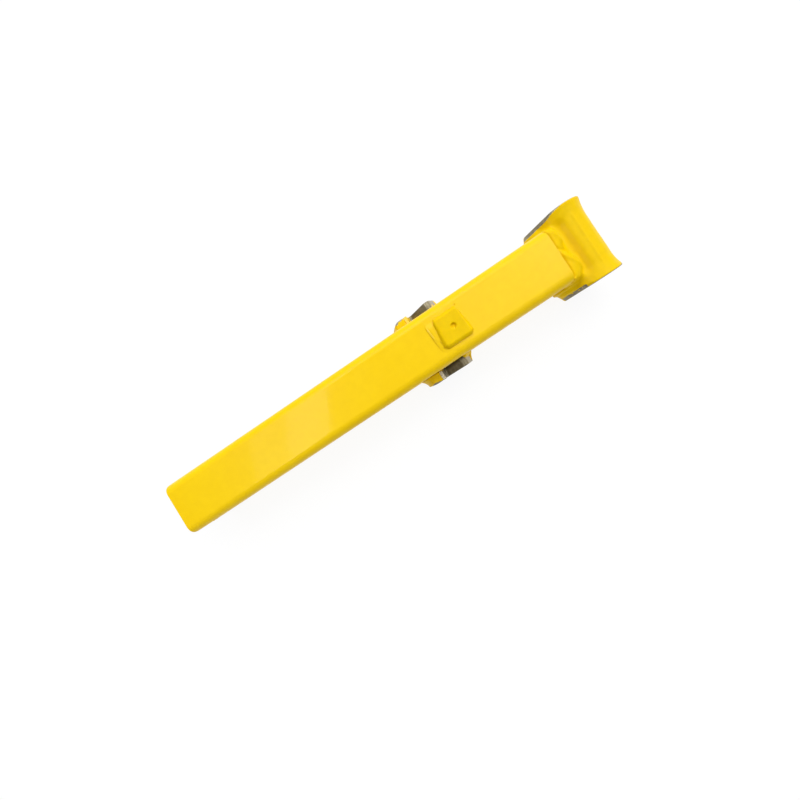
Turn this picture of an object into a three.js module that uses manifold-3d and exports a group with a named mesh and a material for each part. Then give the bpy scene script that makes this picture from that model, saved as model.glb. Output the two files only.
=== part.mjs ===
// Inner section of an extending digger arm: a welded box beam with an open tail, a cast head boss for a cross
// pin, a pair of open saddles for a link bar part-way along, and a drilled locking pad on its front face.
//
// Frame, millimetres: +X runs along the beam from the open tail to the head boss, +Y lies along the pins and +Z
// points out of the front face. The origin is the middle of the base of the bounding box: the arm lies on its back.

import * as THREE from "three";
import { mergeVertices } from "three/addons/utils/BufferGeometryUtils.js";
import Module from "manifold-3d";

const wasm = await Module();
wasm.setup();

// ---------- Driving dimensions ----------

const GAP = 0.3; // left between pieces that touch
const OVERCUT = 1; // how far a cutter runs past what it cuts
const ROUND = 48; // sides of a full-size circle

// The beam: two pressed channels, toe to toe.
const TAIL_X = -638;
const HEAD_X = 568; // axis of the head pin
const BEAM_END_X = HEAD_X - 80;
const BACK_Z = 20;
const FRONT_Z = 160;
const SEAM_Z = (BACK_Z + FRONT_Z) / 2;
const HALF_WIDTH = 70;
const WALL = 10;
const CORNER = 22.5;
const TAIL_SLANT = 6; // how much shorter the +Y side of the tail is
const TAIL_CORNER = 5; // rounding of the open end, seen from the front
const WELD_PREP = 8; // rounding of the head end, left for the weld

// Inside the beam.
const RING_X = TAIL_X + 37;
const RING_THICK = 12;
const RING_RIM = 11;
const PLATE_THICK = 8;
const PLATE_HOLE_R = 24;
const STRIP_HEIGHT = 30;
const STRIP_THICK = 5;

// The saddles, one on each side wall.
const SADDLE_X = HEAD_X - 428;
const SADDLE_END_Y = 95.5;
const SADDLE_R = 67;
const SADDLE_AXIS_Z = 58;
const SHOULDER_Z = 100;
const LINER_THICK = 9;
// Running surface of the seat in side view, relative to SADDLE_X: steep wall, floor, ramp, rolled rim.
const SEAT = [
  { x: -20, z: 100, r: 0 },
  { x: -12, z: 60, r: 6 },
  { x: 42, z: 115, r: 12 },
  { x: 63, z: 76, r: 0 },
];
const CROSS_TUBE_R = 35;
const CROSS_TUBE_WALL = 10;
const CROSS_TUBE_Z = 80;

// The head casting, its bushes and its grease nipple.
const BOSS_END_Y = 100;
const BOSS_Z = 70;
const BOSS_END_R = 70;
const BOSS_WAIST_R = 64;
const BOSS_WAIST_Y = 52;
const BOSS_CHAMFER = 2;
const HEEL_REACH = 78; // how far the heel of the boss reaches back from the pin axis at its end face
const HEEL_FLARE = 14; // how much further it reaches where it meets the side wall
const HEEL_Z = 66;
const HEEL_R = 30;
const FACET_DISTANCE = 58; // from the pin axis to the ground facet on each end
const FACET_DEPTH = 11;
const FACET_ANGLE = THREE.MathUtils.degToRad(150);
const THROAT_TOP_DROP = 5; // step down from the front face at the beam's end
const THROAT_TOP_LENGTH = 12;
const THROAT_VALLEY_Z = 124;
const THROAT_VALLEY_FROM = 44; // from the pin axis back to the start and end of the valley
const THROAT_VALLEY_TO = 28;
const THROAT_BACK_TO = 20; // from the pin axis back to where the throat's back face ends
const THROAT_FALL = 3; // how far each face of the throat falls away along its length
const THROAT_EDGE_R = 3;
const THROAT_ROOT_R = 10;
const SPIGOT_LENGTH = 62;
const SPIGOT_WALL = 13;
const BUSH_OUTER_R = 37.5;
const BUSH_INNER_R = 30;
const BUSH_FROM_Y = 40;
const BUSH_TO_Y = 91;
const BUSH_CHAMFER = 1.5;
const CORE_R = 41;
const SEAL_INNER_R = 30.6;
const SEAL_TO_Y = 98.5;
const NIPPLE_ANGLE = THREE.MathUtils.degToRad(-60);
const NIPPLE_SEAT_R = 62.5;
const SHANK_R = 3;
const SHANK_LENGTH = 9;
const PASSAGE_R = 1.6;
const LIP_R = 1;
const BALL_R = 1.45;
const HEX_R = 5.2;
const NECK_R = 2.4;
const COUPLER_R = 3.2;
const NIPPLE_HEX = 4.5;
const NIPPLE_TIP = 12;
const LIP_THICK = 0.8;
const LIP_CONE = 0.6;
const BALL_DROP = 1.15; // from the underside of the lip to the middle of the ball

// Fittings on the front face.
const PAD_X = SADDLE_X + 50.5;
const PAD_LENGTH = 67;
const PAD_WIDTH = 68;
const PAD_THICK = 9.7;
const PAD_HOLE_X = SADDLE_X + 54;
const PAD_HOLE_R = 6.5;
const PAD_TAPER = 2;
const PAD_CORNER = 6;
const PAD_BEVEL = 1.5;
const STOP_X = SADDLE_X + 7;
const STOP_LENGTH = 15;
const STOP_WIDTH = 72;
const STOP_THICK = 3.4;

// ---------- Finishes ----------

const paint = new THREE.MeshStandardMaterial({ color: 0xf6cc18, roughness: 0.35, metalness: 0 });
const rawPlate = new THREE.MeshStandardMaterial({ color: 0x55514b, roughness: 0.7, metalness: 0.6 });
const bareSteel = new THREE.MeshStandardMaterial({ color: 0x8a8578, roughness: 0.45, metalness: 0.9 });
const bushSteel = new THREE.MeshStandardMaterial({ color: 0x9c9a94, roughness: 0.3, metalness: 1 });
const zinc = new THREE.MeshStandardMaterial({ color: 0xb9b6a4, roughness: 0.35, metalness: 1 });
const rubber = new THREE.MeshStandardMaterial({ color: 0x1c1c1c, roughness: 0.8, metalness: 0 });

// ---------- Building blocks ----------

const arm = new THREE.Group();

// A closed geometry as a manifold-3d solid, with shared vertices merged and collapsed triangles dropped.
function solid(geometry) {
  const bare = geometry.clone();
  bare.deleteAttribute("normal");
  bare.deleteAttribute("uv");
  const merged = mergeVertices(bare, 1e-4);
  const index = merged.index.array;
  const kept = [];
  for (let i = 0; i < index.length; i += 3) {
    const [a, b, c] = index.slice(i, i + 3);
    if (a !== b && b !== c && c !== a) kept.push(a, b, c);
  }
  const vertProperties = new Float32Array(merged.attributes.position.array);
  return new wasm.Manifold(new wasm.Mesh({ numProp: 3, vertProperties, triVerts: new Uint32Array(kept) }));
}

// Adds a solid to the arm as a named mesh.
function piece(name, made, material) {
  const { vertProperties, triVerts } = made.getMesh();
  const geometry = new THREE.BufferGeometry();
  geometry.setAttribute("position", new THREE.BufferAttribute(vertProperties, 3));
  geometry.setIndex(new THREE.BufferAttribute(triVerts, 1));
  geometry.computeVertexNormals();
  const mesh = new THREE.Mesh(geometry, material);
  mesh.name = name;
  arm.add(mesh);
  return mesh;
}

// An outline through the given corners, each rounded to its own radius.
function outline(corners) {
  const shape = new THREE.Shape();
  corners.forEach(({ x, y, r = 0 }, i) => {
    const here = new THREE.Vector2(x, y);
    const before = corners[(i + corners.length - 1) % corners.length];
    const after = corners[(i + 1) % corners.length];
    const back = new THREE.Vector2(before.x, before.y).sub(here).normalize();
    const ahead = new THREE.Vector2(after.x, after.y).sub(here).normalize();
    const half = Math.acos(THREE.MathUtils.clamp(back.dot(ahead), -1, 1)) / 2;
    const start = here.clone().addScaledVector(back, r / Math.tan(half));
    if (i === 0) shape.moveTo(start.x, start.y);
    else shape.lineTo(start.x, start.y);
    if (r === 0) return;
    const stop = here.clone().addScaledVector(ahead, r / Math.tan(half));
    const centre = here.clone().addScaledVector(back.clone().add(ahead).normalize(), r / Math.sin(half));
    const from = start.sub(centre).angle();
    const to = stop.sub(centre).angle();
    shape.absarc(centre.x, centre.y, r, from, to, back.cross(ahead) > 0);
  });
  shape.closePath();
  return shape;
}

function rectangle(x0, x1, y0, y1, r = 0) {
  return outline([
    { x: x0, y: y0, r },
    { x: x1, y: y0, r },
    { x: x1, y: y1, r },
    { x: x0, y: y1, r },
  ]);
}

const extruded = (shape, depth, curveSegments) =>
  new THREE.ExtrudeGeometry(shape, { depth, bevelEnabled: false, curveSegments });

// An outline in Y and Z, extruded from x0 to x1.
function alongX(shape, x0, x1, curveSegments = 6) {
  const turn = new THREE.Matrix4().makeBasis(
    new THREE.Vector3(0, 1, 0),
    new THREE.Vector3(0, 0, 1),
    new THREE.Vector3(1, 0, 0),
  );
  return solid(extruded(shape, x1 - x0, curveSegments).applyMatrix4(turn).translate(x0, 0, 0));
}

// An outline in X and Z, extruded from y0 to y1.
function alongY(shape, y0, y1, curveSegments = 6) {
  return solid(extruded(shape, y1 - y0, curveSegments).rotateX(Math.PI / 2).translate(0, y1, 0));
}

// An outline in X and Y, extruded from z0 to z1.
function alongZ(shape, z0, z1, curveSegments = 6) {
  return solid(extruded(shape, z1 - z0, curveSegments).translate(0, 0, z0));
}

function box(x0, x1, y0, y1, z0, z1) {
  const geometry = new THREE.BoxGeometry(x1 - x0, y1 - y0, z1 - z0);
  return solid(geometry.translate((x0 + x1) / 2, (y0 + y1) / 2, (z0 + z1) / 2));
}

// A round bar along Y, centred on (x, z).
function barAlongY(x, z, r, y0, y1, sides = ROUND) {
  return solid(new THREE.CylinderGeometry(r, r, y1 - y0, sides).translate(x, (y0 + y1) / 2, z));
}

// A profile of [radius, height] points turned round the Y axis, or round the Z axis with turnedZ.
function turnedY(profile, sides = ROUND) {
  return solid(new THREE.LatheGeometry(profile.map(([r, h]) => new THREE.Vector2(r, h)), sides));
}

function turnedZ(profile, sides) {
  const points = profile.map(([r, h]) => new THREE.Vector2(r, h));
  return solid(new THREE.LatheGeometry(points, sides).rotateX(Math.PI / 2));
}

// The same polyline moved to the right of its direction of travel, mitred at its corners.
function offset(line, distance) {
  const normals = line.slice(1).map((p, i) => {
    const run = new THREE.Vector2(p.x - line[i].x, p.z - line[i].z).normalize();
    return new THREE.Vector2(run.y, -run.x);
  });
  return line.map((p, i) => {
    const before = normals[Math.max(i - 1, 0)];
    const after = normals[Math.min(i, normals.length - 1)];
    const mitre = before.clone().add(after);
    mitre.multiplyScalar((2 * distance) / mitre.lengthSq());
    const outside = before.cross(after) > 0;
    const r = p.r === 0 ? 0 : p.r + (outside ? distance : -distance);
    return { x: p.x + mitre.x, z: p.z + mitre.y, r };
  });
}

const SIDES = [
  { name: "left", sign: 1 },
  { name: "right", sign: -1 },
];

// Lowest and highest of a pair of distances from the middle plane, on one side of the arm.
const span = (sign, near, far) => (sign > 0 ? [near, far] : [-far, -near]);

// ---------- The beam ----------

const insideHalf = HALF_WIDTH - WALL;

// One pressed channel: its web at webZ and its two toes at the seam.
function channel(webZ) {
  const away = Math.sign(webZ - SEAM_Z);
  const toe = SEAM_Z + (away * GAP) / 2;
  const section = outline([
    { x: HALF_WIDTH, y: toe },
    { x: HALF_WIDTH, y: webZ, r: CORNER },
    { x: -HALF_WIDTH, y: webZ, r: CORNER },
    { x: -HALF_WIDTH, y: toe },
    { x: -insideHalf, y: toe },
    { x: -insideHalf, y: webZ - away * WALL, r: CORNER - WALL },
    { x: insideHalf, y: webZ - away * WALL, r: CORNER - WALL },
    { x: insideHalf, y: toe },
  ]);
  const plan = outline([
    { x: TAIL_X, y: -HALF_WIDTH, r: TAIL_CORNER },
    { x: BEAM_END_X, y: -HALF_WIDTH, r: WELD_PREP },
    { x: BEAM_END_X, y: HALF_WIDTH, r: WELD_PREP },
    { x: TAIL_X + TAIL_SLANT, y: HALF_WIDTH, r: TAIL_CORNER },
  ]);
  return alongX(section, TAIL_X, BEAM_END_X, 12).intersect(alongZ(plan, 0, FRONT_Z + OVERCUT));
}

piece("front_channel", channel(FRONT_Z), paint);
piece("back_channel", channel(BACK_Z), paint);

// ---------- Inside the beam ----------

const innerSection = (clearance, r) =>
  rectangle(
    -insideHalf + clearance,
    insideHalf - clearance,
    BACK_Z + WALL + clearance,
    FRONT_Z - WALL - clearance,
    r,
  );

function tailRing() {
  const rim = alongX(innerSection(GAP, CORNER - WALL), RING_X, RING_X + RING_THICK);
  const mouth = alongX(innerSection(GAP + RING_RIM, 6), RING_X - OVERCUT, RING_X + RING_THICK + OVERCUT);
  return rim.subtract(mouth);
}

// A plate across the inside of the beam, with a round lightening hole.
function diaphragm(x0) {
  const plate = alongX(innerSection(GAP, CORNER - WALL), x0, x0 + PLATE_THICK);
  const hole = new THREE.CylinderGeometry(PLATE_HOLE_R, PLATE_HOLE_R, PLATE_THICK + 2 * OVERCUT, 32)
    .rotateZ(Math.PI / 2)
    .translate(x0 + PLATE_THICK / 2, 0, SEAM_Z);
  return plate.subtract(solid(hole));
}

const plateOffset = CROSS_TUBE_R + 3; // from the saddle axis to the near face of each diaphragm
const spigotX = BEAM_END_X - SPIGOT_LENGTH;

piece("tail_ring", tailRing(), rawPlate);
piece("tail_side_diaphragm", diaphragm(SADDLE_X - plateOffset - PLATE_THICK), rawPlate);
piece("head_side_diaphragm", diaphragm(SADDLE_X + plateOffset), rawPlate);

const stripSpans = [
  { name: "tail", x0: RING_X + RING_THICK + GAP, x1: SADDLE_X - plateOffset - PLATE_THICK - GAP },
  { name: "head", x0: SADDLE_X + plateOffset + PLATE_THICK + GAP, x1: spigotX - GAP },
];
for (const { name: part, x0, x1 } of stripSpans) {
  for (const { name, sign } of SIDES) {
    const [y0, y1] = span(sign, insideHalf - GAP - STRIP_THICK, insideHalf - GAP);
    const strip = box(x0, x1, y0, y1, SEAM_Z - STRIP_HEIGHT / 2, SEAM_Z + STRIP_HEIGHT / 2);
    piece(`seam_backing_${part}_${name}`, strip, rawPlate);
  }
}

const tubeEnd = insideHalf - GAP;
const tubeBore = CROSS_TUBE_R - CROSS_TUBE_WALL;
const crossTube = barAlongY(SADDLE_X, CROSS_TUBE_Z, CROSS_TUBE_R, -tubeEnd, tubeEnd, 36).subtract(
  barAlongY(SADDLE_X, CROSS_TUBE_Z, tubeBore, -tubeEnd - OVERCUT, tubeEnd + OVERCUT, 36),
);
piece("saddle_cross_tube", crossTube, rawPlate);

// ---------- The saddles ----------

// A side view drawn relative to SADDLE_X, as outline corners.
const placed = (line) => line.map(({ x, z, r }) => ({ x: SADDLE_X + x, y: z, r }));
const underside = offset(SEAT, LINER_THICK);
const bed = offset(SEAT, LINER_THICK + GAP);

// The lug in side view: a round boss with a flat foot and a flat shoulder behind the seat.
function lugShape() {
  const footHalf = Math.sqrt(SADDLE_R ** 2 - SADDLE_AXIS_Z ** 2);
  const shoulderX = Math.sqrt(SADDLE_R ** 2 - (SHOULDER_Z - SADDLE_AXIS_Z) ** 2);
  const footAngle = Math.asin(SADDLE_AXIS_Z / SADDLE_R);
  const shoulderAngle = Math.asin((SHOULDER_Z - SADDLE_AXIS_Z) / SADDLE_R);
  const shape = new THREE.Shape();
  shape.moveTo(SADDLE_X + footHalf, 0);
  shape.absarc(SADDLE_X, SADDLE_AXIS_Z, SADDLE_R, -footAngle, shoulderAngle, false);
  shape.lineTo(SADDLE_X - shoulderX, SHOULDER_Z);
  shape.absarc(SADDLE_X, SADDLE_AXIS_Z, SADDLE_R, Math.PI - shoulderAngle, Math.PI + footAngle, false);
  shape.closePath();
  return shape;
}

// Everything above the bed that the liner lies in.
function bedCutter() {
  const [top, floor, crest, end] = bed;
  const wallSlope = (top.x - floor.x) / (top.z - floor.z);
  const rimZ = end.z - GAP;
  return outline(
    placed([
      { x: top.x + (FRONT_Z - top.z) * wallSlope, z: FRONT_Z, r: 0 },
      floor,
      crest,
      { x: end.x, z: rimZ, r: 0 },
      { x: SADDLE_R + OVERCUT, z: rimZ, r: 0 },
      { x: SADDLE_R + OVERCUT, z: FRONT_Z, r: 0 },
    ]),
  );
}

const linerShape = outline(placed([...SEAT, ...[...underside].reverse()]));

for (const { name, sign } of SIDES) {
  const [y0, y1] = span(sign, HALF_WIDTH + GAP, SADDLE_END_Y);
  const lug = alongY(lugShape(), y0, y1, 20).subtract(alongY(bedCutter(), y0 - OVERCUT, y1 + OVERCUT));
  piece(`saddle_casting_${name}`, lug, paint);
  piece(`saddle_liner_${name}`, alongY(linerShape, y0, y1, 8), bareSteel);
}

// ---------- The head ----------

// The barrel round the pin: a waisted body of revolution, wider at its machined ends.
function barrel() {
  const steps = 7;
  const half = [[BOSS_WAIST_R, 0]];
  for (let i = 0; i <= steps; i += 1) {
    const t = i / steps;
    const y = BOSS_WAIST_Y + (BOSS_END_Y - BOSS_CHAMFER - BOSS_WAIST_Y) * t;
    half.push([BOSS_WAIST_R + (BOSS_END_R - BOSS_WAIST_R) * t * t, y]);
  }
  half.push([BOSS_END_R - BOSS_CHAMFER, BOSS_END_Y], [0, BOSS_END_Y]);
  const mirrored = half.slice(1).map(([r, y]) => [r, -y]);
  return turnedY([...mirrored.reverse(), ...half]).translate([HEAD_X, 0, BOSS_Z]);
}

// The heel that runs back from the boss outside one side wall. It tapers towards the end face.
function heel(sign) {
  const shape = new THREE.Shape();
  const heelX = -HEEL_REACH + HEEL_R;
  const distance = Math.hypot(heelX, BOSS_Z - HEEL_Z);
  const inner = BOSS_WAIST_R - HEEL_FLARE;
  const line = Math.atan2(BOSS_Z - HEEL_Z, -heelX);
  const lean = Math.acos((HEEL_R - inner) / distance);
  shape.absarc(HEAD_X, BOSS_Z, inner, line - lean, line + lean, false);
  shape.absarc(HEAD_X + heelX, HEEL_Z, HEEL_R, line + lean, line - lean + 2 * Math.PI, false);
  shape.closePath();
  const taper = BOSS_END_Y - HALF_WIDTH;
  const geometry = new THREE.ExtrudeGeometry(shape, {
    depth: 0.01,
    bevelThickness: taper,
    bevelSize: HEEL_FLARE,
    bevelSegments: 1,
    curveSegments: 16,
  });
  geometry.rotateX(Math.PI / 2).translate(0, sign * HALF_WIDTH, 0);
  const [y0, y1] = span(sign, HALF_WIDTH + GAP, BOSS_END_Y);
  const keep = box(HEAD_X - 120, HEAD_X + 40, y0, y1, 0, FRONT_Z);
  return solid(geometry).intersect(keep);
}

// The throat between the beam's end and the barrel, as deep as the beam where they meet.
function throat() {
  const shape = outline([
    { x: BEAM_END_X + GAP, y: BACK_Z + THROAT_FALL, r: THROAT_EDGE_R },
    { x: HEAD_X - THROAT_BACK_TO, y: BACK_Z - THROAT_FALL, r: THROAT_EDGE_R },
    { x: HEAD_X, y: BOSS_Z },
    { x: HEAD_X - THROAT_VALLEY_TO, y: THROAT_VALLEY_Z - THROAT_FALL, r: THROAT_ROOT_R },
    { x: HEAD_X - THROAT_VALLEY_FROM, y: THROAT_VALLEY_Z, r: THROAT_ROOT_R },
    { x: BEAM_END_X + THROAT_TOP_LENGTH, y: FRONT_Z - THROAT_TOP_DROP - THROAT_FALL, r: 2 * THROAT_EDGE_R },
    { x: BEAM_END_X + GAP, y: FRONT_Z - THROAT_TOP_DROP, r: THROAT_EDGE_R },
  ]);
  const halfWidth = HALF_WIDTH + 2 * GAP;
  const section = rectangle(-halfWidth, halfWidth, 0, FRONT_Z, CORNER);
  return alongY(shape, -halfWidth, halfWidth).intersect(alongX(section, BEAM_END_X, HEAD_X));
}

// The hollow spigot that the beam slides over.
function spigot() {
  const body = alongX(innerSection(GAP + 0.2, CORNER - WALL), spigotX, BEAM_END_X + 4);
  const hollow = alongX(innerSection(SPIGOT_WALL, 6), spigotX - OVERCUT, BEAM_END_X - 8);
  return body.subtract(hollow);
}

// The facet ground across the corner of one end face, on the side towards the beam.
function facetCutter(sign) {
  const size = 200;
  const lean = Math.atan2(BOSS_END_R - FACET_DISTANCE, FACET_DEPTH);
  const geometry = new THREE.BoxGeometry(size, size, size)
    .translate(size / 2, 0, 0)
    .rotateZ(sign * (Math.PI / 2 - lean))
    .translate(FACET_DISTANCE, sign * BOSS_END_Y, 0)
    .rotateY(-FACET_ANGLE);
  const [y0, y1] = span(sign, BOSS_END_Y - FACET_DEPTH - OVERCUT, BOSS_END_Y + OVERCUT);
  const corner = box(HEAD_X - size, HEAD_X + size, y0, y1, 0, FRONT_Z);
  return solid(geometry).translate([HEAD_X, 0, BOSS_Z]).intersect(corner);
}

// A round hole from the pin axis outwards, in the direction of the nipple.
function drilling(r, from, to) {
  const geometry = new THREE.CylinderGeometry(r, r, to - from, 20)
    .rotateZ(-Math.PI / 2)
    .translate((from + to) / 2, 0, 0)
    .rotateY(-NIPPLE_ANGLE);
  return solid(geometry).translate([HEAD_X, 0, BOSS_Z]);
}

function headCasting() {
  let casting = barrel().add(throat()).add(spigot());
  for (const { sign } of SIDES) casting = casting.add(heel(sign));
  for (const { sign } of SIDES) casting = casting.subtract(facetCutter(sign));
  const bore = barAlongY(HEAD_X, BOSS_Z, BUSH_OUTER_R + GAP, -BOSS_END_Y - OVERCUT, BOSS_END_Y + OVERCUT);
  const core = barAlongY(HEAD_X, BOSS_Z, CORE_R, -BUSH_FROM_Y, BUSH_FROM_Y);
  casting = casting.subtract(bore).subtract(core);
  casting = casting.subtract(drilling(SHANK_R + GAP, NIPPLE_SEAT_R - SHANK_LENGTH - OVERCUT, BOSS_END_R));
  return casting.subtract(drilling(2, CORE_R - OVERCUT, NIPPLE_SEAT_R));
}

piece("head_casting", headCasting(), paint);

for (const { name, sign } of SIDES) {
  const bush = turnedY([
    [BUSH_INNER_R, BUSH_FROM_Y + BUSH_CHAMFER],
    [BUSH_INNER_R + BUSH_CHAMFER, BUSH_FROM_Y],
    [BUSH_OUTER_R - BUSH_CHAMFER, BUSH_FROM_Y],
    [BUSH_OUTER_R, BUSH_FROM_Y + BUSH_CHAMFER],
    [BUSH_OUTER_R, BUSH_TO_Y],
    [BUSH_INNER_R, BUSH_TO_Y],
    [BUSH_INNER_R, BUSH_FROM_Y + BUSH_CHAMFER],
  ]);
  const seal = turnedY([
    [SEAL_INNER_R + 2, BUSH_TO_Y + GAP],
    [BUSH_OUTER_R - GAP, BUSH_TO_Y + GAP],
    [BUSH_OUTER_R - GAP, SEAL_TO_Y],
    [SEAL_INNER_R + 3, SEAL_TO_Y],
    [SEAL_INNER_R, SEAL_TO_Y - 2],
    [SEAL_INNER_R + 2, BUSH_TO_Y + GAP],
  ]);
  const turn = sign > 0 ? 0 : 180;
  piece(`head_bush_${name}`, bush.rotate([turn, 0, 0]).translate([HEAD_X, 0, BOSS_Z]), bushSteel);
  piece(`head_seal_${name}`, seal.rotate([turn, 0, 0]).translate([HEAD_X, 0, BOSS_Z]), rubber);
}

// ---------- The grease nipple ----------

// Built pointing up +Z from its seat, then turned to point out of the boss.
function nippleBody() {
  const hex = solid(new THREE.CylinderGeometry(HEX_R, HEX_R, NIPPLE_HEX, 6).rotateX(Math.PI / 2));
  const body = turnedZ(
    [
      [0, -SHANK_LENGTH],
      [SHANK_R - 0.5, -SHANK_LENGTH],
      [SHANK_R, -SHANK_LENGTH + 0.5],
      [SHANK_R, NIPPLE_HEX],
      [NECK_R, NIPPLE_HEX + 1.8],
      [NECK_R, NIPPLE_HEX + 3],
      [COUPLER_R, NIPPLE_HEX + 4.4],
      [COUPLER_R, NIPPLE_TIP - 1.6],
      [1.8, NIPPLE_TIP],
      [0, NIPPLE_TIP],
    ],
    24,
  );
  const passage = turnedZ(
    [
      [0, -SHANK_LENGTH - OVERCUT],
      [PASSAGE_R, -SHANK_LENGTH - OVERCUT],
      [PASSAGE_R, NIPPLE_TIP - LIP_THICK - LIP_CONE],
      [LIP_R, NIPPLE_TIP - LIP_THICK],
      [LIP_R, NIPPLE_TIP + OVERCUT],
      [0, NIPPLE_TIP + OVERCUT],
    ],
    24,
  );
  return body.add(hex.translate([0, 0, NIPPLE_HEX / 2 + GAP])).subtract(passage);
}

const nipple = new THREE.Group();
nipple.position.set(
  HEAD_X + NIPPLE_SEAT_R * Math.cos(NIPPLE_ANGLE),
  0,
  BOSS_Z + NIPPLE_SEAT_R * Math.sin(NIPPLE_ANGLE),
);
nipple.rotation.y = Math.PI / 2 - NIPPLE_ANGLE;
const seatLift = BOSS_WAIST_R - NIPPLE_SEAT_R + GAP;
const nippleMesh = piece("grease_nipple", nippleBody(), zinc);
nippleMesh.position.z = seatLift;
nipple.add(nippleMesh);

const ballMesh = piece("nipple_ball", solid(new THREE.SphereGeometry(BALL_R, 16, 10)), bushSteel);
ballMesh.position.z = seatLift + NIPPLE_TIP - LIP_THICK - BALL_DROP;
nipple.add(ballMesh);
arm.add(nipple);

// ---------- Fittings on the front face ----------

// A drilled plate with bevelled edges, a little wider on the -Y side.
function lockPad() {
  const nearHalf = PAD_LENGTH / 2 + PAD_TAPER;
  const farHalf = PAD_LENGTH / 2 - PAD_TAPER;
  const halfWidth = PAD_WIDTH / 2;
  const shape = outline([
    { x: PAD_X - nearHalf, y: -halfWidth, r: PAD_CORNER },
    { x: PAD_X + nearHalf, y: -halfWidth, r: PAD_CORNER },
    { x: PAD_X + farHalf, y: halfWidth, r: PAD_CORNER },
    { x: PAD_X - farHalf, y: halfWidth, r: PAD_CORNER },
  ]);
  const geometry = new THREE.ExtrudeGeometry(shape, {
    depth: PAD_THICK - 2 * PAD_BEVEL,
    bevelThickness: PAD_BEVEL,
    bevelSize: PAD_BEVEL,
    bevelOffset: -PAD_BEVEL,
    bevelSegments: 2,
    curveSegments: 5,
  });
  const hole = new THREE.Shape().absarc(PAD_HOLE_X, 0, PAD_HOLE_R, 0, 2 * Math.PI, false);
  const drilled = alongZ(hole, FRONT_Z - OVERCUT, FRONT_Z + PAD_THICK + OVERCUT, 12);
  return solid(geometry.translate(0, 0, FRONT_Z + GAP + PAD_BEVEL)).subtract(drilled);
}

piece("lock_pad", lockPad(), paint);

const stopShape = rectangle(
  STOP_X - STOP_LENGTH / 2,
  STOP_X + STOP_LENGTH / 2,
  -STOP_WIDTH / 2,
  STOP_WIDTH / 2,
  5,
);
piece("stop_strip", alongZ(stopShape, FRONT_Z + GAP, FRONT_Z + GAP + STOP_THICK), paint);

export default arm;
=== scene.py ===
# Looks for the extending digger arm section: enamel, bare steel, weld runs, floor, light
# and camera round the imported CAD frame.
# Shapes are worked out in millimetres and turned into metres when a mesh is made.
# Textures, bump depths, the floor, the lights and the camera are in metres.

import math

import bpy
import numpy as np
from mathutils import Matrix, Vector, noise


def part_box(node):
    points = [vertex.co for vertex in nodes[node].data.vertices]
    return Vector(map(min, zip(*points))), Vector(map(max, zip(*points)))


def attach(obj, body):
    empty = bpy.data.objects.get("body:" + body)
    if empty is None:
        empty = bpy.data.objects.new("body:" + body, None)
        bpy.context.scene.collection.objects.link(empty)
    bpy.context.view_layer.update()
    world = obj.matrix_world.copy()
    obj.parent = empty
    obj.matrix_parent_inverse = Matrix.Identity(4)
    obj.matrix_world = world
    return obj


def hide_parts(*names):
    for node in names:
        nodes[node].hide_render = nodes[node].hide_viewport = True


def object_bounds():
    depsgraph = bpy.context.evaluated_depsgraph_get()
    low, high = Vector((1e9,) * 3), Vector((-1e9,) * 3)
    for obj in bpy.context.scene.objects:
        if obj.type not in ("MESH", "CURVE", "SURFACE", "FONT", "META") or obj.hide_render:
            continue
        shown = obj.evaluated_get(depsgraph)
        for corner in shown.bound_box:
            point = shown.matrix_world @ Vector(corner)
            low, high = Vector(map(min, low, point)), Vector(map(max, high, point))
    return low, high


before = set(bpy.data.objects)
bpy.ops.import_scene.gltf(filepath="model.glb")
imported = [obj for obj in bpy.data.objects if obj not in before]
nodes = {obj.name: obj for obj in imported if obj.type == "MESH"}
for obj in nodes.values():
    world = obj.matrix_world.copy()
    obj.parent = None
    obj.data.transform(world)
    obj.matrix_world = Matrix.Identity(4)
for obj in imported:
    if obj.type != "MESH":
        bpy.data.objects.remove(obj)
cad_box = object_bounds()

MM = 0.001
SIDES = (("left", 1), ("right", -1))

# ---------- Where the CAD pieces are, in millimetres ----------


def box_mm(node):
    low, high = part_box(node)
    return np.array(low) / MM, np.array(high) / MM


BEAM_LOW, BEAM_HIGH = box_mm("front_channel")
TAIL_X, BEAM_END_X = BEAM_LOW[0], BEAM_HIGH[0]
SEAM_Z, FRONT_Z = BEAM_LOW[2], BEAM_HIGH[2]
SIDE_Y = BEAM_HIGH[1]
BACK_Z = box_mm("back_channel")[0][2]
BUSH_LOW, BUSH_HIGH = box_mm("head_bush_left")
PIN_X, PIN_Z = (BUSH_LOW[0] + BUSH_HIGH[0]) / 2, (BUSH_LOW[2] + BUSH_HIGH[2]) / 2
END_Y = box_mm("head_casting")[1][1]
TUBE_LOW, TUBE_HIGH = box_mm("saddle_cross_tube")
SADDLE_X = (TUBE_LOW[0] + TUBE_HIGH[0]) / 2
LUG_HIGH = box_mm("saddle_casting_left")[1]
PAD_LOW, PAD_HIGH = box_mm("lock_pad")
STOP_LOW, STOP_HIGH = box_mm("stop_strip")

# ---------- Node helpers ----------


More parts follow.
